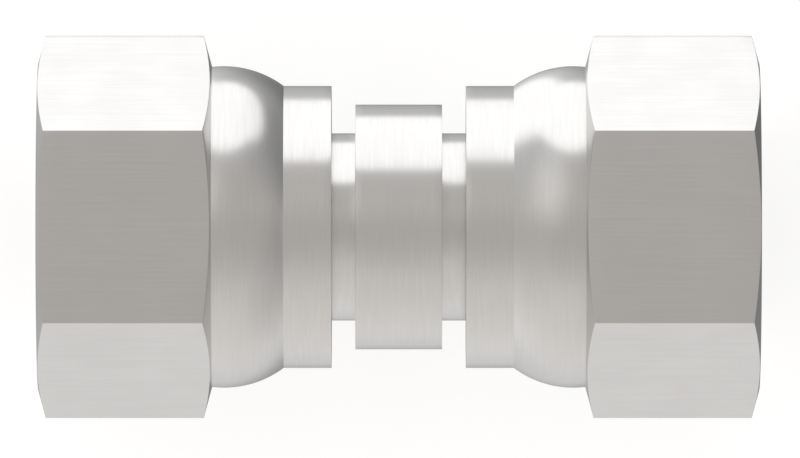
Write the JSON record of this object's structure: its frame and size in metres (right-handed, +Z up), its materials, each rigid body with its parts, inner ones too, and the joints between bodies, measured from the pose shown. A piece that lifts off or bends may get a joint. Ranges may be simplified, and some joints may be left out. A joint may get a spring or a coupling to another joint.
{
  "type": "straight adapter fitting",
  "caption": "Straight hydraulic adapter: a tubular body with a flared seat in each head and a hexagon swivel nut crimped over each end.",
  "frame": {"origin": "middle of the body, on the flow axis", "axes": "+X along the flow axis to the right-hand nut, +Z up from the flats that it lies on"},
  "size_m": [0.0484, 0.0256, 0.0222],
  "materials": {
    "body_steel": "turned and zinc-plated, satin",
    "nut_steel": "drawn hexagon bar, turned and zinc-plated, satin"
  },
  "bodies": {
    "adapter_body": {"adapter_body": "body_steel"},
    "nut_left": {"swivel_nut_left": "nut_steel"},
    "nut_right": {"swivel_nut_right": "nut_steel"}
  },
  "joints": [
    {"name": "nut_left_spin", "type": "hinge", "parent": "adapter_body", "child": "nut_left", "pos_m": [-0.01833, 0, 0], "axis": [1, 0, 0], "continuous": true},
    {"name": "nut_right_spin", "type": "hinge", "parent": "adapter_body", "child": "nut_right", "pos_m": [0.01833, 0, 0], "axis": [1, 0, 0], "continuous": true}
  ]
}
